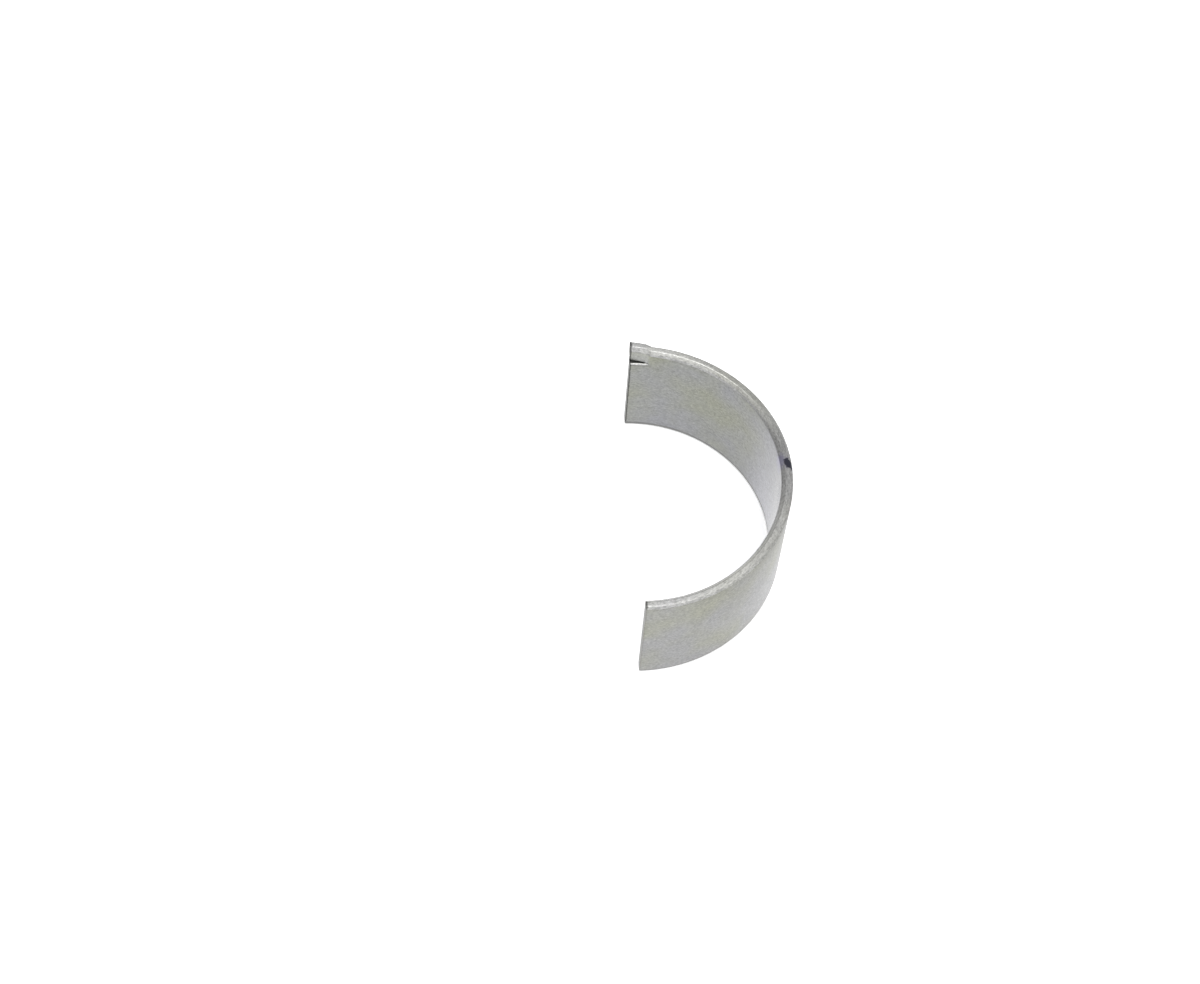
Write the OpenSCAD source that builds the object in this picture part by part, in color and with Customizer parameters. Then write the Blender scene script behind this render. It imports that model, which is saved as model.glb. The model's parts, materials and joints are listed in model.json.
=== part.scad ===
// Plain half shell of a connecting-rod bearing, standing on one of its side faces.
// The origin is on the journal's axis, at mid-width and in the plane of the parting faces.
// +Z runs along the journal's axis, +X points to the crown of the shell.

/* [Shell] */
// Diameter of the housing that the back of the shell seats in
housing_d = 39; // [30:0.5:70]
// Thickness of the wall, steel back and lining together
wall = 1.48; // [1.2:0.01:2.5]
// Width of the shell along the journal's axis
width = 16.4; // [10:0.1:40]

/* [Side edges] */
// Chamfer along the bore on both side faces
bore_chamfer = 0.55; // [0.1:0.05:0.7]
// Chamfer along the back on both side faces
back_chamfer = 0.3; // [0.1:0.05:0.45]

/* [Locating tang] */
// Width of the pressed-out corner, from the side face to the sheared edge
tang_w = 2.5; // [1.5:0.1:6]
// Length of the tang from the parting face to its root
tang_l = 2.1; // [1.5:0.1:4]
// Height of the tang above the back at the parting face
tang_h = 0.65; // [0.5:0.05:1]
// Height of the tang above the back at its root
tang_root_h = 0.35; // [0.25:0.05:0.45]
// Length of the ramp in the bore, from the root of the tang to the undisturbed wall
tang_ramp = 0.7; // [0.5:0.05:1.2]
// Gap that the shear leaves between the tang and the wall beside it
shear_gap = 0.2; // [0.05:0.05:0.4]

/* [Hidden] */
back_r = housing_d / 2;
bore_r = back_r - wall;
side_z = width / 2;
shear_z = side_z - tang_w;
// Spare length by which cuts run past the metal
over = 1;
$fn = 240;

// The corner keeps the curves of the wall when it is pressed out: its two faces, and those of its
// ramp, turn about axes that move to one side. Three points of their section fix where these go.
tang_tip = [0, back_r + tang_h];
tang_root = [tang_l, sqrt(back_r ^ 2 - tang_l ^ 2) + tang_root_h];
ramp_foot = [tang_l + tang_ramp, sqrt(bore_r ^ 2 - (tang_l + tang_ramp) ^ 2)];
tang_axis = axis_at(tang_tip, back_r, tang_root, back_r);
ramp_axis = axis_at(tang_root, back_r, ramp_foot, bore_r);

// Axis that lies at one distance from point a and at another from point b, on the bore's side
function axis_at(a, a_r, b, b_r) =
    let (
        span = norm(b - a),
        along = (b - a) / span,
        foot = (a_r ^ 2 - b_r ^ 2 + span ^ 2) / (2 * span),
        aside = sqrt(a_r ^ 2 - foot ^ 2)
    )
    a + foot * along + aside * [along.y, -along.x];

// Solid inside the back, with the outer chamfers
module back_form(axis = [0, 0]) {
    flat_r = back_r - back_chamfer;
    edge_z = side_z - back_chamfer;
    translate(axis)
        rotate_extrude()
            polygon([
                [0, -side_z], [flat_r, -side_z], [back_r, -edge_z],
                [back_r, edge_z], [flat_r, side_z], [0, side_z]
            ]);
}

// Space inside the bore, flared by the inner chamfers
module bore_form(axis = [0, 0]) {
    flare_r = bore_r + bore_chamfer + over;
    flare_z = side_z + over;
    edge_z = side_z - bore_chamfer;
    translate(axis)
        rotate_extrude()
            polygon([
                [0, -flare_z], [flare_r, -flare_z], [bore_r, -edge_z],
                [bore_r, edge_z], [flare_r, flare_z], [0, flare_z]
            ]);
}

// Room on the crown's side of a plane across the shell, from one height upwards
module room_above(low, start = 0) {
    translate([start, -housing_d, low])
        cube([housing_d, 2 * housing_d, width + over]);
}

// Metal of the corner where it stands out past the back, flush with the parting face
module tang_metal() {
    intersection() {
        back_form(tang_axis);
        back_form(ramp_axis);
        room_above(shear_z);
    }
}

// Pocket that the pressed-out corner leaves in the bore
module tang_pocket() {
    intersection() {
        bore_form(tang_axis);
        bore_form(ramp_axis);
        room_above(shear_z, -over);
    }
}

// Narrow gap beside the tang, left by the shear
module shear_slit() {
    translate([-over, bore_r - over, shear_z])
        cube([over + tang_l - shear_gap, wall + tang_h + 2 * over, shear_gap]);
}

module bearing_shell() {
    color([0.66, 0.66, 0.64])
        difference() {
            union() {
                intersection() {
                    back_form();
                    room_above(-side_z);
                }
                tang_metal();
            }
            bore_form();
            tang_pocket();
            shear_slit();
        }
}

bearing_shell();
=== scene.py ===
import json
import math

import bpy
from mathutils import Matrix, Vector


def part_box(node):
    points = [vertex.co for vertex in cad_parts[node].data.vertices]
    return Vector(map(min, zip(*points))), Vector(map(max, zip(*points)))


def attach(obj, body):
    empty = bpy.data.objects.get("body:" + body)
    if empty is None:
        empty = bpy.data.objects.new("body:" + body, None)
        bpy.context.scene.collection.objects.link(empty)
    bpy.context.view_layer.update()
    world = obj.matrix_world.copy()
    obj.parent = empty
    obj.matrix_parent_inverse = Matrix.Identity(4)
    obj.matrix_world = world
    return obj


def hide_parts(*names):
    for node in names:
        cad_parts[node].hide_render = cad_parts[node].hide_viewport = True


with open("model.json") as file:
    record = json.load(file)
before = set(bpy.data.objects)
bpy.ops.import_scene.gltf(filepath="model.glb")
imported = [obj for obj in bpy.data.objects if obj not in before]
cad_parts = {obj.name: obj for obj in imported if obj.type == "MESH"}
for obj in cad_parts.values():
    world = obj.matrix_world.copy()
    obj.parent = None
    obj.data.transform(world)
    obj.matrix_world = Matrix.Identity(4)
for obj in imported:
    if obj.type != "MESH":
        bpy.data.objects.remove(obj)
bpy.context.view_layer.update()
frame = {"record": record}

# Bearing shell, form: a strip of steel with a thin bonded lining, bent to a half round and bored.
# Its side edges are chamfered by turning, and the locating tang is a corner of the wall that is
# sheared along one line and pressed out past the back.

MM = 0.001


def place(tree, kind, inputs=None, **options):
    """Add a node to a tree, set its options, and set or link its inputs."""
    node = tree.nodes.new(kind)
    for option, value in options.items():
        setattr(node, option, value)
    for key, value in (inputs or {}).items():
        if isinstance(value, bpy.types.NodeSocket):
            tree.links.new(value, node.inputs[key])
        else:
            node.inputs[key].default_value = value
    return node


def reckon(tree, operation, *values):
    """One Math node, as the socket it puts out."""
    return place(tree, "ShaderNodeMath", dict(enumerate(values)), operation=operation).outputs[0]


def new_tree(name, kind, takes, gives):
    """A node group with named inputs and outputs, and its two end nodes."""
    tree = bpy.data.node_groups.new(name, kind)
    for way, sockets in (("INPUT", takes), ("OUTPUT", gives)):
        for socket, socket_kind in sockets.items():
            tree.interface.new_socket(socket, in_out=way, socket_type="NodeSocket" + socket_kind)
    return tree, place(tree, "NodeGroupInput").outputs, place(tree, "NodeGroupOutput").inputs


shell_low, shell_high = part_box("bearing_shell")
mounts = {mount["name"]: mount for mount in frame["record"]["mounts"]}
back_r = mounts["housing_back"]["dims"]["r_mm"] * MM
bore_r = mounts["journal_bore"]["dims"]["r_mm"] * MM
side_z = shell_high[2]
back_chamfer = side_z - mounts["housing_back"]["dims"]["length_mm"] * MM / 2
bore_chamfer = side_z - mounts["journal_bore"]["dims"]["length_mm"] * MM / 2
tang_h = shell_high[1] - back_r

# Sizes of the tang that the record doesn't give. The ramp is smoothed, so its foot lies a little further in.
tang_w = 2.5 * MM
tang_l = 2.1 * MM
tang_root_h = 0.35 * MM
tang_foot = 2.95 * MM
shear_gap = 0.2 * MM
slit_reach = 6 * MM

# Small forms of the finished piece: broken edges, the smooth ramp, and the edge that the shear rolls over.
edge_break, break_steps = 0.18 * MM, 3
root_smooth, foot_smooth = 0.06 * MM, 0.08 * MM
shear_roll, roll_from, roll_full = 0.34 * MM, 0.02 * MM, 0.3 * MM
roll_rows = (1.0, 0.75, 0.5, 0.25, 0.1, 0.0)
corner_angle = math.radians(35)

# Tiny steps that keep rows of points apart and tell levels from each other.
row_gap, hair, end_hair, slit_clear = 0.02 * MM, 0.01 * MM, 0.001 * MM, 0.002 * MM
facing_limit = 0.8

form, f_in, f_out = new_tree(
    "bearing_shell_form", "GeometryNodeTree",
    {"Back Radius": "Float", "Bore Radius": "Float", "Half Width": "Float",
     "Back Chamfer": "Float", "Bore Chamfer": "Float", "Edge Break": "Float",
     "Tang Height": "Float", "Root Height": "Float", "Tang Length": "Float", "Ramp Foot": "Float",
     "Shear Height": "Float", "Shear Roll": "Float", "Slit Length": "Float", "Slit Gap": "Float",
     "Stations": "Int", "Back": "Material", "Lining": "Material", "Cut Edge": "Material",
     "Parting Face": "Material"},
    {"Geometry": "Geometry"},
)

# The strip's section: radius across, width upwards. Rows of points stand ready where the corner is sheared.
back, bore, side, shear = (f_in[k] for k in ("Back Radius", "Bore Radius", "Half Width", "Shear Height"))
bore_edge = reckon(form, "SUBTRACT", side, f_in["Bore Chamfer"])
back_edge = reckon(form, "SUBTRACT", side, f_in["Back Chamfer"])
bore_flat = reckon(form, "ADD", bore, f_in["Bore Chamfer"])
back_flat = reckon(form, "SUBTRACT", back, f_in["Back Chamfer"])
shear_top = reckon(form, "ADD", shear, row_gap)
rolled = [reckon(form, "SUBTRACT", shear, reckon(form, "MULTIPLY", f_in["Shear Roll"], share))
          for share in roll_rows]
under = [reckon(form, "MULTIPLY", level, -1.0) for level in (bore_edge, back_edge, side)]
section = (
    [(bore, under[0])] + [(bore, level) for level in rolled] + [(bore, shear_top), (bore, bore_edge)]
    + [(bore_flat, side), (back_flat, side), (back, back_edge), (back, shear_top), (back, shear)]
    + [(back, under[1]), (back_flat, under[2]), (bore_flat, under[2])]
)
place_of = place(form, "GeometryNodeIndexSwitch", data_type="VECTOR")
for _ in section[2:]:
    place_of.index_switch_items.new()
form.links.new(place(form, "GeometryNodeInputIndex").outputs[0], place_of.inputs["Index"])
for number, (across, level) in enumerate(section):
    point = place(form, "ShaderNodeCombineXYZ", {0: across, 1: level})
    form.links.new(point.outputs[0], place_of.inputs[number + 1])
outline = place(form, "GeometryNodeMeshCircle", {"Vertices": len(section)})
outline = place(form, "GeometryNodeSetPosition", {
    "Geometry": outline.outputs[0], "Position": place_of.outputs[0]})
outline = place(form, "GeometryNodeMeshToCurve", {"Mesh": outline.outputs[0]})
outline = place(form, "GeometryNodeFilletCurve", {
    "Curve": outline.outputs[0], "Radius": f_in["Edge Break"], "Count": break_steps}, mode="POLY")

# The straight strip, then bent: its length turns into half a turn about the journal's axis.
length = place(form, "GeometryNodeCurvePrimitiveLine", {"Start": (0, 0, 0), "End": (0, 0, 1)})
length = place(form, "GeometryNodeResampleCurve", {"Curve": length.outputs[0], "Count": f_in["Stations"]})
strip = place(form, "GeometryNodeCurveToMesh", {
    "Curve": length.outputs[0], "Profile Curve": outline.outputs[0], "Fill Caps": True})
at = place(form, "ShaderNodeSeparateXYZ", {0: place(form, "GeometryNodeInputPosition").outputs[0]}).outputs
angle = reckon(form, "MULTIPLY", reckon(form, "SUBTRACT", at[2], 0.5), math.pi)
from_end = reckon(form, "MULTIPLY", reckon(form, "COSINE", angle), back)
tang_end = reckon(form, "GREATER_THAN", angle, 0.0)

# The corner is pressed out most at the parting face, falls to its root, and runs out in a ramp.
tang_rise = place(form, "ShaderNodeMapRange", {
    "Value": from_end, "From Min": 0.0, "From Max": f_in["Tang Length"],
    "To Min": f_in["Tang Height"], "To Max": f_in["Root Height"]}, clamp=False).outputs[0]
ramp_rise = place(form, "ShaderNodeMapRange", {
    "Value": from_end, "From Min": f_in["Tang Length"], "From Max": f_in["Ramp Foot"],
    "To Min": f_in["Root Height"], "To Max": 0.0}, clamp=False).outputs[0]
rise = reckon(form, "SMOOTH_MIN", tang_rise, ramp_rise, root_smooth)
rise = reckon(form, "MULTIPLY", reckon(form, "SMOOTH_MAX", rise, 0.0, foot_smooth), tang_end)
above_shear = reckon(form, "ADD", shear, hair)
pressed = reckon(form, "MULTIPLY", rise, reckon(form, "GREATER_THAN", at[1], above_shear))

# The wall beside it keeps its place, and its edge is rolled over by the shear.
short = reckon(form, "DIVIDE", reckon(form, "SUBTRACT", shear, at[1]), f_in["Shear Roll"])
short = reckon(form, "MINIMUM", reckon(form, "MAXIMUM", short, 0.0), 1.0)
curl = reckon(form, "POWER", reckon(form, "SUBTRACT", 1.0, short), 2.0)
curl = reckon(form, "SUBTRACT", 1.0, reckon(form, "SQRT", reckon(form, "SUBTRACT", 1.0, curl)))
inner = reckon(form, "LESS_THAN", at[0], reckon(form, "ADD", bore, hair))
strength = place(form, "ShaderNodeMapRange", {
    "Value": rise, "From Min": roll_from, "From Max": roll_full,
    "To Min": 0.0, "To Max": f_in["Shear Roll"]}).outputs[0]
curl = reckon(form, "MULTIPLY", reckon(form, "MULTIPLY", curl, strength), inner)
curl = reckon(form, "MULTIPLY", curl, reckon(form, "LESS_THAN", at[1], above_shear))
reach = reckon(form, "ADD", at[0], reckon(form, "ADD", pressed, curl))
bent = place(form, "ShaderNodeCombineXYZ", {
    0: reckon(form, "MULTIPLY", reach, reckon(form, "COSINE", angle)),
    1: reckon(form, "MULTIPLY", reach, reckon(form, "SINE", angle)),
    2: at[1]})
shell = place(form, "GeometryNodeSetPosition", {"Geometry": strip.outputs[0], "Position": bent.outputs[0]})

# The shear leaves a narrow slit between the tang and the wall beside it.
slit_low = reckon(form, "SUBTRACT", shear, slit_clear)
slit_size = place(form, "ShaderNodeCombineXYZ", {
    0: reckon(form, "MULTIPLY", f_in["Slit Length"], 2.0), 1: slit_reach, 2: f_in["Slit Gap"]})
slit_at = place(form, "ShaderNodeCombineXYZ", {
    1: back, 2: reckon(form, "ADD", slit_low, reckon(form, "DIVIDE", f_in["Slit Gap"], 2.0))})
slit = place(form, "GeometryNodeMeshCube", {"Size": slit_size.outputs[0]})
slit = place(form, "GeometryNodeTransform", {
    "Geometry": slit.outputs[0], "Translation": slit_at.outputs[0]})
shell = place(form, "GeometryNodeMeshBoolean", {
    "Mesh 1": shell.outputs[0], "Mesh 2": slit.outputs[0]}, operation="DIFFERENCE", solver="EXACT").outputs[0]
shell = place(form, "GeometryNodeSetShadeSmooth", {"Geometry": shell}).outputs[0]

# The faces that look out from the axis are the back, those that look to it the lining, the ends of the
# wall the parting faces, and the rest cut edges.
position = place(form, "GeometryNodeInputPosition").outputs[0]
in_from_end = place(form, "ShaderNodeSeparateXYZ", {0: position}).outputs[0]
outwards = place(form, "ShaderNodeVectorMath", {0: position, 1: (1, 1, 0)}, operation="MULTIPLY")
outwards = place(form, "ShaderNodeVectorMath", {0: outwards.outputs[0]}, operation="NORMALIZE")
facing = place(form, "ShaderNodeVectorMath", {
    0: outwards.outputs[0], 1: place(form, "GeometryNodeInputNormal").outputs[0]},
    operation="DOT_PRODUCT").outputs["Value"]
is_back = place(form, "FunctionNodeCompare", {0: facing, 1: facing_limit}, operation="GREATER_THAN")
is_lining = place(form, "FunctionNodeCompare", {0: facing, 1: -facing_limit}, operation="LESS_THAN")
is_parting = place(form, "FunctionNodeCompare", {0: in_from_end, 1: hair}, operation="LESS_THAN")
shell = place(form, "GeometryNodeRealizeInstances", {"Geometry": shell}).outputs[0]
shell = place(form, "GeometryNodeSetMaterial", {"Geometry": shell, "Material": f_in["Cut Edge"]}).outputs[0]
for chosen, finish in ((is_back, "Back"), (is_lining, "Lining"), (is_parting, "Parting Face")):
    shell = place(form, "GeometryNodeSetMaterial", {
        "Geometry": shell, "Selection": chosen.outputs[0], "Material": f_in[finish]}).outputs[0]

# The sharp edges around the parting faces are marked, to be broken at the end.
at_end = place(form, "FunctionNodeCompare", {0: in_from_end, 1: end_hair}, operation="LESS_THAN")
corner = place(form, "FunctionNodeCompare", {
    0: place(form, "GeometryNodeInputMeshEdgeAngle").outputs[0], 1: corner_angle}, operation="GREATER_THAN")
parting_edge = place(form, "FunctionNodeBooleanMath", {
    0: at_end.outputs[0], 1: corner.outputs[0]}, operation="AND")
shell = place(form, "GeometryNodeStoreNamedAttribute", {
    "Geometry": shell, "Selection": parting_edge.outputs[0], "Name": "bevel_weight_edge", "Value": 1.0},
    domain="EDGE", data_type="FLOAT").outputs[0]
form.links.new(shell, f_out["Geometry"])

# Bearing shell, finish: satin grey metal all over. The bore shows fine boring lines, the back the
# grain of the rolled strip, and the cut edges turning marks. A grade dab of dark ink sits on one side face.

# Place on the shell in millimetres: along the wall from the crown, across its width, out from the axis,
# and in from the parting faces. Lengths along the wall are taken near the middle of its thickness.
middle_r = 18.8
spot, _, s_out = new_tree("shell_spot", "ShaderNodeTree", {}, {
    "Along": "Float", "Across": "Float", "Out": "Float", "From Ends": "Float"})
xyz = place(spot, "ShaderNodeVectorMath", {
    0: place(spot, "ShaderNodeTexCoord").outputs["Object"], 1: (1000, 1000, 1000)}, operation="MULTIPLY")
xyz = place(spot, "ShaderNodeSeparateXYZ", {0: xyz.outputs[0]}).outputs
out = reckon(spot, "SQRT", reckon(spot, "ADD", reckon(spot, "POWER", xyz[0], 2.0),
                                  reckon(spot, "POWER", xyz[1], 2.0)))
spot.links.new(out, s_out["Out"])
spot.links.new(reckon(spot, "MULTIPLY", reckon(spot, "ARCTAN2", xyz[1], xyz[0]), middle_r), s_out["Along"])
spot.links.new(xyz[2], s_out["Across"])
spot.links.new(xyz[0], s_out["From Ends"])

# Fine lines that run along the wall: their height, and broader streaks of tone among them.
streak_stretch = (0.5, 0.12, 0)
lines, l_in, l_out = new_tree(
    "tool_lines", "ShaderNodeTree",
    {"Along": "Float", "Across": "Float", "Lines per mm": "Float", "Wander": "Float"},
    {"Height": "Float", "Streak": "Float"},
)
way = place(lines, "ShaderNodeCombineXYZ", {
    0: reckon(lines, "MULTIPLY", l_in["Along"], l_in["Wander"]),
    1: reckon(lines, "MULTIPLY", l_in["Across"], l_in["Lines per mm"])})
fine = place(lines, "ShaderNodeTexNoise", {
    "Vector": way.outputs[0], "Scale": 1.0, "Detail": 2.0, "Roughness": 0.6})
way = place(lines, "ShaderNodeVectorMath", {0: way.outputs[0], 1: streak_stretch}, operation="MULTIPLY")
broad = place(lines, "ShaderNodeTexNoise", {
    "Vector": way.outputs[0], "Scale": 1.0, "Detail": 3.0, "Roughness": 0.6})
lines.links.new(fine.outputs[0], l_out["Height"])
lines.links.new(broad.outputs[0], l_out["Streak"])


def step(tree, value, low, high, to_low, to_high):
    """A smooth step of a value between two levels."""
    return place(tree, "ShaderNodeMapRange", {
        "Value": value, "From Min": low, "From Max": high, "To Min": to_low, "To Max": to_high},
        interpolation_type="SMOOTHSTEP").outputs[0]


# Handling: soft cloudy patches of tone and tint, and a fine grain that is drawn out along the wall.
# The tint is warmer towards the upper side face and cooler at the crown.
drawn_out, side_warmth = 0.4, 0.012
cool_span, crown_cool = (2.0, 12.0), 0.2
handled, h_in, h_out = new_tree(
    "handled_metal", "ShaderNodeTree",
    {"Along": "Float", "Across": "Float", "Out": "Float", "Patch Size mm": "Float", "Seed": "Float"},
    {"Patch": "Float", "Tint": "Float", "Mottle": "Float", "Grain": "Float"},
)
metres = place(handled, "ShaderNodeTexCoord").outputs["Object"]
drawn = place(handled, "ShaderNodeCombineXYZ", {
    0: reckon(handled, "MULTIPLY", h_in["Along"], drawn_out), 1: h_in["Across"], 2: h_in["Out"]}).outputs[0]
for name, vector, scale, detail, sharpness, shift in (
    ("Patch", metres, reckon(handled, "DIVIDE", 1000.0, h_in["Patch Size mm"]), 3.0, 0.55, 0.0),
    ("Tint", metres, reckon(handled, "DIVIDE", 1400.0, h_in["Patch Size mm"]), 2.0, 0.5, 7.0),
    ("Mottle", metres, 2800.0, 2.0, 0.6, 13.0),
    ("Grain", drawn, 7.5, 3.0, 0.65, 3.0),
):
    cloud = place(handled, "ShaderNodeTexNoise", {
        "Vector": vector, "W": reckon(handled, "ADD", h_in["Seed"], shift),
        "Scale": scale, "Detail": detail, "Roughness": sharpness}, noise_dimensions="4D")
    value = cloud.outputs[0]
    if name == "Tint":
        cooler = step(handled, reckon(handled, "ABSOLUTE", h_in["Along"]), *cool_span, -crown_cool, 0.0)
        value = reckon(handled, "ADD", value, reckon(handled, "MULTIPLY", h_in["Across"], side_warmth))
        value = reckon(handled, "ADD", value, cooler)
    handled.links.new(value, h_out[name])

# Ink dab: a slanting brushed spot on the side face just off the crown, and the thin film that ran from it
# into the bore. Both have a ragged outline. Middles and reaches are along, across and out, in millimetres.
rag_scale, rag_depth = 2400.0, 1.2
slant_r, slant_share = 18.95, 0.6
ink, i_in, i_out = new_tree(
    "ink_dab", "ShaderNodeTree",
    {"Along": "Float", "Across": "Float", "Out": "Float"}, {"Dab": "Float", "Film": "Float"},
)
ragged = place(ink, "ShaderNodeTexNoise", {
    "Vector": place(ink, "ShaderNodeTexCoord").outputs["Object"], "Scale": rag_scale, "Detail": 3.0})
ragged = reckon(ink, "MULTIPLY", reckon(ink, "SUBTRACT", ragged.outputs[0], 0.5), rag_depth)
slant = reckon(ink, "MULTIPLY", reckon(ink, "SUBTRACT", i_in["Out"], slant_r), slant_share)
slant = reckon(ink, "ADD", i_in["Along"], slant)
for name, middle, reach, full, gone in (
    ("Dab", (0.88, 8.2, 19.0), (0.8, 0.6, 0.58), 0.8, 1.1),
    ("Film", (1.1, 7.2, 18.3), (1.5, 2.2, 1.2), 0.3, 1.1),
):
    parts = [
        reckon(ink, "POWER", reckon(ink, "DIVIDE", reckon(ink, "SUBTRACT", value, centre), span), 2.0)
        for value, centre, span in zip((slant, i_in["Across"], i_in["Out"]), middle, reach)
    ]
    away = reckon(ink, "SQRT", reckon(ink, "ADD", reckon(ink, "ADD", parts[0], parts[1]), parts[2]))
    away = reckon(ink, "ADD", away, ragged)
    ink.links.new(step(ink, away, full, gone, 1.0, 0.0), i_out[name])

# Marks of the making, and painted light and shade: the punched corner is burnished and painted lighter on the bore
# and back, partly as painted light, and darker on its chamfer; the slit beside it is painted dark inside, as
# painted shade;
# and the edges at the parting faces are painted dark, as painted shade for the shaded floor they reflect, most of
# all at the tang's end and the corners.
punch_from, punch_full, slit_full = 26.7, 27.3, 27.6
punch_low, slit_middle, slit_half = 5.72, 5.8, 0.115
slit_shade_to, slit_shade_end = 19.2, 19.4
edge_rag_scale, shaded_line, shaded_corner_reach = 3000.0, (0.08, 0.28), (0.15, 0.36)
plain_end_shade, tang_end_shade, corner_shade = 0.2, 0.95, 0.9
marks, m_in, m_out = new_tree(
    "making_marks_and_painted_shade", "ShaderNodeTree",
    {"Along": "Float", "Across": "Float", "Out": "Float", "From Ends": "Float"},
    {"Punched": "Float", "Painted Edge Shade": "Float"},
)
punched = reckon(marks, "MULTIPLY", step(marks, m_in["Along"], punch_from, punch_full, 0.0, 1.0),
                 step(marks, m_in["Across"], punch_low, slit_middle, 0.0, 1.0))
marks.links.new(punched, m_out["Punched"])
ragged = place(marks, "ShaderNodeTexNoise", {
    "Vector": place(marks, "ShaderNodeTexCoord").outputs["Object"], "Scale": edge_rag_scale, "Detail": 3.0}).outputs[0]
ragged = reckon(marks, "ADD", ragged, 0.5)
# Painted shade: a ragged dark line along the edges of the parting faces.
line = step(marks, reckon(marks, "DIVIDE", m_in["From Ends"], ragged), *shaded_line, 1.0, 0.0)
line = reckon(marks, "MULTIPLY", line, step(marks, m_in["Along"], -1.0, 1.0, plain_end_shade, tang_end_shade))
to_side = reckon(marks, "SUBTRACT", side_z / MM, reckon(marks, "ABSOLUTE", m_in["Across"]))
to_corner = reckon(marks, "SQRT", reckon(marks, "ADD", reckon(marks, "POWER", m_in["From Ends"], 2.0),
                                         reckon(marks, "POWER", to_side, 2.0)))
shaded_corners = step(marks, reckon(marks, "DIVIDE", to_corner, ragged), *shaded_corner_reach, corner_shade, 0.0)
# Painted shade: the inside of the slit is darkened.
slit_shade = reckon(marks, "MULTIPLY", step(marks, m_in["Along"], punch_full, slit_full, 0.0, 1.0),
                   reckon(marks, "COMPARE", m_in["Across"], slit_middle, slit_half))
slit_shade = reckon(marks, "MULTIPLY", slit_shade, step(marks, m_in["Out"], slit_shade_to, slit_shade_end, 1.0, 0.0))
dark = reckon(marks, "MAXIMUM", reckon(marks, "MAXIMUM", line, shaded_corners), slit_shade)
marks.links.new(dark, m_out["Painted Edge Shade"])

# How far each kind of unevenness changes the tone, as a share of it, and the roughness. Spans along and
# across the wall are in millimetres, and the front half is where the place along it is below zero.
noise_ends, tint_ends = (0.3, 0.7), (0.36, 0.72)
tone_sway = {"Patch": 0.05, "Streak": 0.05, "Mottle": 0.09, "Height": 0.06}
rough_sway = {"Patch": 0.05, "Streak": 0.05, "Grain": -0.06}
patch_mm, punched_cool = 11.0, 0.14
bore_mm, flat_mm = bore_r / MM, (bore_r + bore_chamfer) / MM
lining_mm, lining_blur, flat_blur, polish_blur = 0.2, 0.04, 0.1, 0.07
film_colour, film_strength, film_ior = (0.29, 0.275, 0.45, 1), 0.6, 1.4
ink_colour, ink_cover = (0.018, 0.018, 0.034, 1), 0.95
# The crown height and span place the painted light on the low crown of the bore.
crown_height, crown_span, crown_top = (-8.0, 6.0), (3.0, 11.0), 0.15
# The chamfer light span places the painted lighter bore chamfer on the front half.
chamfer_light_span, dull_span, polish_span, front_polish = (-16.0, -5.0), (-26.0, -8.0), (-16.0, -4.0), 0.2
turning_slant = math.radians(-15)
grain_depth, relief_depth = 0.4, 0.004 * MM


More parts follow.
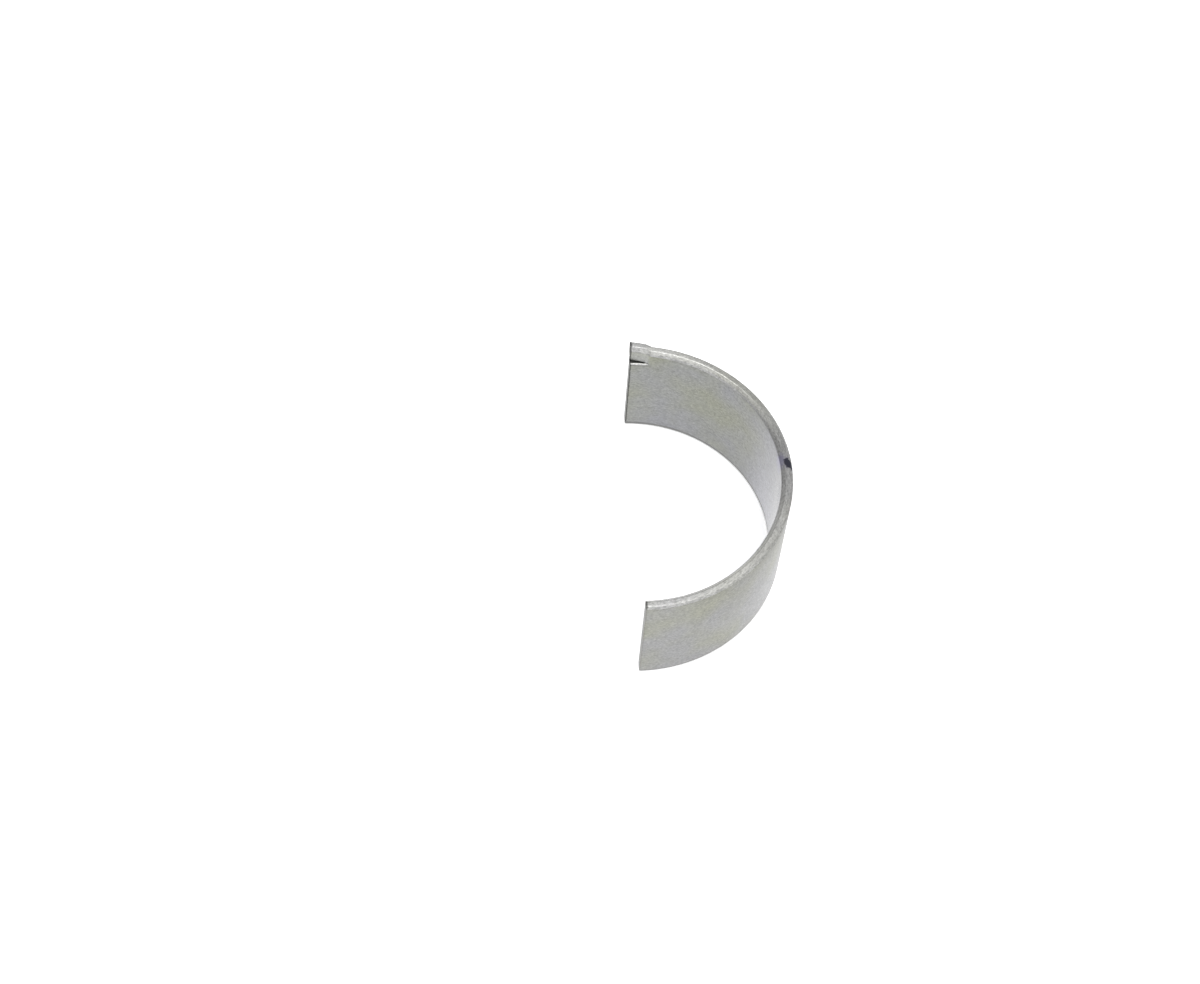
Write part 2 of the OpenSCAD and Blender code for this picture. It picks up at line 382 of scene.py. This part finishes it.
def metal(name, tone, warm, rough, line_axis, lines_per_mm, wander, line_depth, seed,
          lining_tone=None, painted_crown_light=None, film=0.3, film_rough=0.3, spread=0.0, punched=0.0, edge_shade=0.8,
          grain=0.32, painted_end_light=0.0, painted_end_span=(8.0, 26.0), painted_chamfer_light=0.0, polished=(), front_dull=0.0):
    """One finish of the shell: tones with patches and streaks, tool lines, grain, marks, painted light and shade,
    and the ink dab.
    """
    material = bpy.data.materials.new(name)
    material.use_nodes = True
    tree = material.node_tree
    shader = tree.nodes["Principled BSDF"]
    on = place(tree, "ShaderNodeGroup", node_tree=spot).outputs
    where = {key: on[key] for key in ("Along", "Across", "Out")}
    cut = place(tree, "ShaderNodeGroup", {
        "Along": on["Along"], "Across": on[line_axis], "Lines per mm": lines_per_mm, "Wander": wander},
        node_tree=lines).outputs
    worn = place(tree, "ShaderNodeGroup", {
        **where, "Patch Size mm": patch_mm, "Seed": seed}, node_tree=handled).outputs
    dab = place(tree, "ShaderNodeGroup", where, node_tree=ink).outputs
    mark = place(tree, "ShaderNodeGroup", {**where, "From Ends": on["From Ends"]}, node_tree=marks).outputs
    uneven = {"Patch": worn["Patch"], "Mottle": worn["Mottle"], "Grain": worn["Grain"],
              "Streak": cut["Streak"], "Height": cut["Height"]}
    from_crown = reckon(tree, "ABSOLUTE", on["Along"])

    def blend(mask, first, second):
        return place(tree, "ShaderNodeMix", {0: mask, 6: first, 7: second}, data_type="RGBA").outputs[2]

    def between(value, low, high, to_low, to_high):
        return place(tree, "ShaderNodeMapRange", {
            "Value": value, "From Min": low, "From Max": high, "To Min": to_low, "To Max": to_high}).outputs[0]

    def total(first, *others):
        for other in others:
            first = reckon(tree, "ADD", first, other)
        return first

    def times(first, second):
        return reckon(tree, "MULTIPLY", first, second)

    def rest_of(share):
        return reckon(tree, "SUBTRACT", 1.0, share)

    def sways(amounts):
        return [between(uneven[key], *noise_ends, -amount, amount) for key, amount in amounts.items()]

    # Colour: a cool and a warm tone in patches, the lining's own tone, and a paler, cooler low crown in the bore,
    # which is painted light that stands for light from the floor close below.
    tint = worn["Tint"]
    if punched:
        tint = reckon(tree, "SUBTRACT", tint, times(mark["Punched"], punched_cool))
    colour = blend(between(tint, *tint_ends, 0.0, 1.0), (*tone, 1), (*warm, 1))
    if lining_tone:
        in_lining = between(on["Out"], bore_mm + lining_mm, bore_mm + lining_mm + lining_blur, 1.0, 0.0)
        colour = blend(in_lining, colour, (*lining_tone, 1))
    # Painted light: the bore's low crown is made paler, as if lit from the floor below.
    if painted_crown_light:
        low = step(tree, on["Across"], *crown_height, 1.0, crown_top)
        low = times(low, step(tree, from_crown, *crown_span, 1.0, 0.0))
        colour = blend(low, colour, (*painted_crown_light, 1))

    # Shade: unevenness, painted light towards the ends and painted shade at the crown, a painted lighter bore
    # chamfer on the front half, and the painted shade of the dark edges and the slit.
    shade = total(1.0, *sways({**tone_sway, "Grain": grain}), times(mark["Punched"], punched))
    # Painted light and shade: lighter towards the ends of the wall, darker at the crown.
    if painted_end_light:
        shade = total(shade, step(tree, from_crown, *painted_end_span, -painted_end_light, painted_end_light))
    # Painted light: the bore chamfer is made lighter on the front half.
    if painted_chamfer_light:
        chamfer_light_mask = step(tree, on["Out"], flat_mm - flat_blur, flat_mm, painted_chamfer_light, 0.0)
        shade = total(shade, times(chamfer_light_mask, step(tree, on["Along"], *chamfer_light_span, 1.0, 0.0)))
    shade = times(shade, rest_of(times(mark["Painted Edge Shade"], edge_shade)))
    colour = place(tree, "ShaderNodeHueSaturation", {"Color": colour, "Value": shade}).outputs[0]
    colour = blend(times(dab["Film"], film_strength), colour, film_colour)
    colour = blend(dab["Dab"], colour, ink_colour)
    tree.links.new(colour, shader.inputs["Base Color"])
    tree.links.new(rest_of(times(dab["Dab"], ink_cover)), shader.inputs["Metallic"])

    # Gloss: polished bands, given by their middle, half width and polish, and a duller front half.
    gloss = total(rough, *sways(rough_sway))
    for band_r, half, polish in polished:
        aside = reckon(tree, "ABSOLUTE", reckon(tree, "SUBTRACT", on["Out"], band_r / MM))
        bright = times(step(tree, aside, half, half + polish_blur, polish, 0.0), rest_of(mark["Punched"]))
        bright = times(bright, step(tree, on["Along"], *polish_span, front_polish, 1.0))
        gloss = reckon(tree, "SUBTRACT", gloss, bright)
    if front_dull:
        gloss = total(gloss, step(tree, on["Along"], *dull_span, front_dull, 0.0))
    tree.links.new(gloss, shader.inputs["Roughness"])

    # A thin oil film lies on the metal, but not on the ink or where the edge shade is painted. Turned faces spread
    # the light across their marks.
    filmed = rest_of(reckon(tree, "MAXIMUM", dab["Dab"], mark["Painted Edge Shade"]))
    tree.links.new(times(filmed, film), shader.inputs["Coat Weight"])
    shader.inputs["Coat Roughness"].default_value = film_rough
    shader.inputs["Coat IOR"].default_value = film_ior
    if spread:
        radial = place(tree, "ShaderNodeVectorMath", {
            0: place(tree, "ShaderNodeTexCoord").outputs["Object"], 1: (1, 1, 0)}, operation="MULTIPLY")
        slanted = place(tree, "ShaderNodeVectorRotate", {
            "Vector": radial.outputs[0], "Angle": turning_slant}, rotation_type="Z_AXIS")
        tree.links.new(slanted.outputs[0], shader.inputs["Tangent"])
        shader.inputs["Anisotropic"].default_value = spread
    relief = total(times(cut["Height"], line_depth), times(worn["Grain"], grain_depth))
    bump = place(tree, "ShaderNodeBump", {"Strength": 1.0, "Distance": relief_depth, "Height": relief})
    tree.links.new(bump.outputs[0], shader.inputs["Normal"])
    return material


back_steel = metal(
    "back_steel", tone=(0.4, 0.401, 0.404), warm=(0.4, 0.405, 0.31), rough=0.38,
    line_axis="Across", lines_per_mm=9.0, wander=0.5, line_depth=0.6, seed=1.0,
    film=0.3, film_rough=0.15, punched=0.05, painted_end_light=0.04)
lining_metal = metal(
    "lining_metal", tone=(0.315, 0.319, 0.337), warm=(0.315, 0.324, 0.25), rough=0.34,
    line_axis="Across", lines_per_mm=12.0, wander=0.12, line_depth=1.0, seed=6.0,
    painted_crown_light=(0.47, 0.47, 0.525), film=1.0, film_rough=0.08, punched=0.3, painted_end_light=0.09)
cut_edge = metal(
    "cut_edge", tone=(0.505, 0.505, 0.5), warm=(0.5, 0.5, 0.465), rough=0.44,
    line_axis="Out", lines_per_mm=14.0, wander=0.15, line_depth=0.7, seed=8.0,
    lining_tone=(0.44, 0.44, 0.435), film=1.0, film_rough=0.1, spread=0.65, punched=-0.12, grain=0.44,
    painted_end_light=0.08, painted_end_span=(2.0, 9.0), painted_chamfer_light=0.6, front_dull=0.08,
    polished=((bore_r + bore_chamfer, 0.05, 0.12), (bore_r + 0.2 * MM, 0.22, 0.08)))
# The parting faces' dark steel tone is painted shade that stands for the shaded floor they reflect; the lining
# shows on them in its own paler tone.
parting_face = metal(
    "parting_face", tone=(0.25, 0.25, 0.25), warm=(0.27, 0.27, 0.255), rough=0.38,
    line_axis="Out", lines_per_mm=16.0, wander=0.15, line_depth=1.5, seed=11.0,
    lining_tone=(0.4, 0.4, 0.395), edge_shade=0.0)

# Bearing shell, piece: the form is evaluated once with its sizes and made a plain mesh, and the edges of
# the parting faces are broken. It stands for the whole solid.
parting_break, stations = 0.06 * MM, 481
blank = bpy.data.objects.new("bearing_shell_blank", bpy.data.meshes.new("bearing_shell_blank"))
bpy.context.collection.objects.link(blank)
making = blank.modifiers.new("form", "NODES")
making.node_group = form
sizes = {
    "Back Radius": back_r, "Bore Radius": bore_r, "Half Width": side_z,
    "Back Chamfer": back_chamfer, "Bore Chamfer": bore_chamfer, "Edge Break": edge_break,
    "Tang Height": tang_h, "Root Height": tang_root_h, "Tang Length": tang_l, "Ramp Foot": tang_foot,
    "Shear Height": side_z - tang_w, "Shear Roll": shear_roll,
    "Slit Length": tang_l - shear_gap, "Slit Gap": shear_gap, "Stations": stations,
    "Back": back_steel, "Lining": lining_metal, "Cut Edge": cut_edge, "Parting Face": parting_face,
}
for socket in form.interface.items_tree:
    if socket.in_out == "INPUT":
        making[socket.identifier] = sizes[socket.name]
made = blank.evaluated_get(bpy.context.evaluated_depsgraph_get())
shell_mesh = bpy.data.meshes.new_from_object(made)
shell_mesh.name = "shell"
bpy.data.objects.remove(blank)
piece = bpy.data.objects.new("shell", shell_mesh)
bpy.context.collection.objects.link(piece)
shell_mesh.set_sharp_from_angle(angle=corner_angle)
broken = piece.modifiers.new("parting_edges", "BEVEL")
broken.limit_method = "WEIGHT"
broken.width = parting_break
broken.segments = 2
broken.use_clamp_overlap = False
evened = piece.modifiers.new("even_shading", "WEIGHTED_NORMAL")
evened.keep_sharp = True
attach(piece, "root")
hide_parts("bearing_shell")

# Floor: one wide sheet of matt white card under the shell. It shows as white and keeps the shell's shadow,
# with a painted contact shadow: a dark line under the wall. In reflections the card glows as painted light,
# which fades with distance, and at the right it is a little brighter close to the shell and a little darker
# further out.
floor_half, floor_z = 3, shell_low[2]
card_white, seen_lift, mirrored_drop = 0.85, 0.9, 0.55
contact_shade, contact_from, contact_to = 0.35, 0.6 * MM, 0.8 * MM
near_glow, far_glow, fade_from, fade_to = 0.72, 0.25, 0.05, 0.5
right_glow, right_from, right_full = 0.22, 9 * MM, 20 * MM
past_glow, past_from, past_full = -0.4, back_r + 2 * MM, back_r + 6 * MM
floor_mesh = bpy.data.meshes.new("floor")
floor_mesh.from_pydata(
    [(x * floor_half, y * floor_half, floor_z) for x, y in ((-1, -1), (1, -1), (1, 1), (-1, 1))],
    [], [(0, 1, 2, 3)])
floor = bpy.data.objects.new("floor", floor_mesh)
bpy.context.collection.objects.link(floor)
card = bpy.data.materials.new("white_card")
card.use_nodes = True
tree = card.node_tree
tree.nodes.remove(tree.nodes["Principled BSDF"])
ray = place(tree, "ShaderNodeLightPath").outputs
mirrored = reckon(tree, "MAXIMUM", ray["Is Glossy Ray"], ray["Is Transmission Ray"])
white = reckon(tree, "ADD", card_white, reckon(tree, "MULTIPLY", ray["Is Camera Ray"], seen_lift))
white = reckon(tree, "SUBTRACT", white, reckon(tree, "MULTIPLY", mirrored, mirrored_drop))
on_card = place(tree, "ShaderNodeTexCoord").outputs["Object"]
plan = place(tree, "ShaderNodeVectorMath", {0: on_card, 1: (1, 1, 0)}, operation="MULTIPLY")
plan = place(tree, "ShaderNodeVectorMath", {0: plan.outputs[0]}, operation="LENGTH").outputs["Value"]
to_wall = reckon(tree, "ABSOLUTE", reckon(tree, "SUBTRACT", plan, (bore_r + back_r) / 2))
to_right = place(tree, "ShaderNodeSeparateXYZ", {0: on_card}).outputs[0]
open_side = reckon(tree, "LESS_THAN", to_right, 0.0)
# Painted shadow: the card is darker in a ring under the wall, except on the open side.
contact_shadow = reckon(tree, "MAXIMUM", step(tree, to_wall, contact_from, contact_to, contact_shade, 1.0), open_side)
white = reckon(tree, "MULTIPLY", white, contact_shadow)
matt = place(tree, "ShaderNodeBsdfDiffuse", {
    "Color": place(tree, "ShaderNodeCombineColor", {0: white, 1: white, 2: white}).outputs[0]})
# Painted reflected light: the card glows for reflections only, brighter near the shell and at its right, darker
# past the wall.
far = place(tree, "ShaderNodeVectorMath", {0: on_card}, operation="LENGTH")
card_light = step(tree, far.outputs["Value"], fade_from, fade_to, near_glow, far_glow)
by_wall = step(tree, plan, past_from, past_full, 1.0, past_glow)
by_wall = reckon(tree, "MULTIPLY", reckon(tree, "GREATER_THAN", plan, back_r), by_wall)
right_light = reckon(tree, "MULTIPLY", step(tree, to_right, right_from, right_full, 0.0, right_glow), by_wall)
card_light = reckon(tree, "ADD", card_light, right_light)
bright = place(tree, "ShaderNodeEmission", {"Strength": reckon(tree, "MULTIPLY", mirrored, card_light)})
both = place(tree, "ShaderNodeAddShader", {0: matt.outputs[0], 1: bright.outputs[0]})
tree.links.new(both.outputs[0], tree.nodes["Material Output"].inputs["Surface"])
floor_mesh.materials.append(card)

# Light: a pale studio and one large soft lamp overhead, a little to the front. Reflections show the studio
# brighter overhead, in front and at the right, and greyer towards the horizon behind. The camera sees it white.
plain_light, seen_light = 0.6, 1.0
studio = bpy.data.worlds.new("studio")
bpy.context.scene.world = studio
studio.use_nodes = True
tree = studio.node_tree
tree.nodes.clear()
look = place(tree, "ShaderNodeSeparateXYZ", {0: place(tree, "ShaderNodeTexCoord").outputs["Generated"]}).outputs
overhead = step(tree, look[2], 0.0, 0.5, 0.15, 0.55)
in_front = step(tree, look[1], -0.8, 0.3, 0.4, 0.0)
right_side = step(tree, look[0], 0.2, 0.9, 0.0, 0.25)
ray = place(tree, "ShaderNodeLightPath").outputs
room = reckon(tree, "ADD", reckon(tree, "ADD", overhead, in_front), right_side)
room = place(tree, "ShaderNodeMix", {0: ray["Is Glossy Ray"], 2: plain_light, 3: room}).outputs[0]
seen = reckon(tree, "MAXIMUM", ray["Is Camera Ray"], ray["Is Transmission Ray"])
glow = place(tree, "ShaderNodeMix", {0: seen, 2: room, 3: seen_light}).outputs[0]
room_light = place(tree, "ShaderNodeBackground", {"Color": (1, 1, 1, 1), "Strength": glow})
tree.links.new(room_light.outputs[0], place(tree, "ShaderNodeOutputWorld").inputs["Surface"])

lamp_at = Vector((0, -0.1, 0.93))
lamp_data = bpy.data.lights.new("soft_lamp", "AREA")
lamp_data.shape = "ELLIPSE"
lamp_data.size = 1.1
lamp_data.size_y = 0.75
lamp_data.energy = 4.1
lamp = bpy.data.objects.new("soft_lamp", lamp_data)
bpy.context.collection.objects.link(lamp)
lamp.matrix_world = Matrix.Translation(lamp_at) @ lamp_at.to_track_quat("Z", "Y").to_matrix().to_4x4()

# Camera: a longer lens looking steeply down from the front, tipped a little to one side. Its aim and its
# distance are in radii of the shell's back.
turn, rise_angle, roll = (math.radians(x) for x in (-5.8, 58.22, 3.96))
aim = Vector((-0.2219, 0.111, 0)) * back_r
stand_off = 14.047
camera_data = bpy.data.cameras.new("camera")
camera_data.sensor_fit = "HORIZONTAL"
camera_data.sensor_width = 36
camera_data.lens = 63.954
camera_data.clip_start = 0.01
camera = bpy.data.objects.new("camera", camera_data)
bpy.context.collection.objects.link(camera)
level_part = math.cos(rise_angle)
behind = Vector((math.sin(turn) * level_part, -math.cos(turn) * level_part, math.sin(rise_angle)))
right = Vector((0, 0, 1)).cross(behind).normalized()
upright = behind.cross(right)
tipped_right = math.cos(roll) * right + math.sin(roll) * upright
tipped_up = math.cos(roll) * upright - math.sin(roll) * right
camera.matrix_world = Matrix.Translation(aim + behind * stand_off * back_r) @ Matrix(
    (tipped_right, tipped_up, behind)).transposed().to_4x4()
bpy.context.scene.camera = camera
bpy.context.scene.view_settings.view_transform = "Standard"
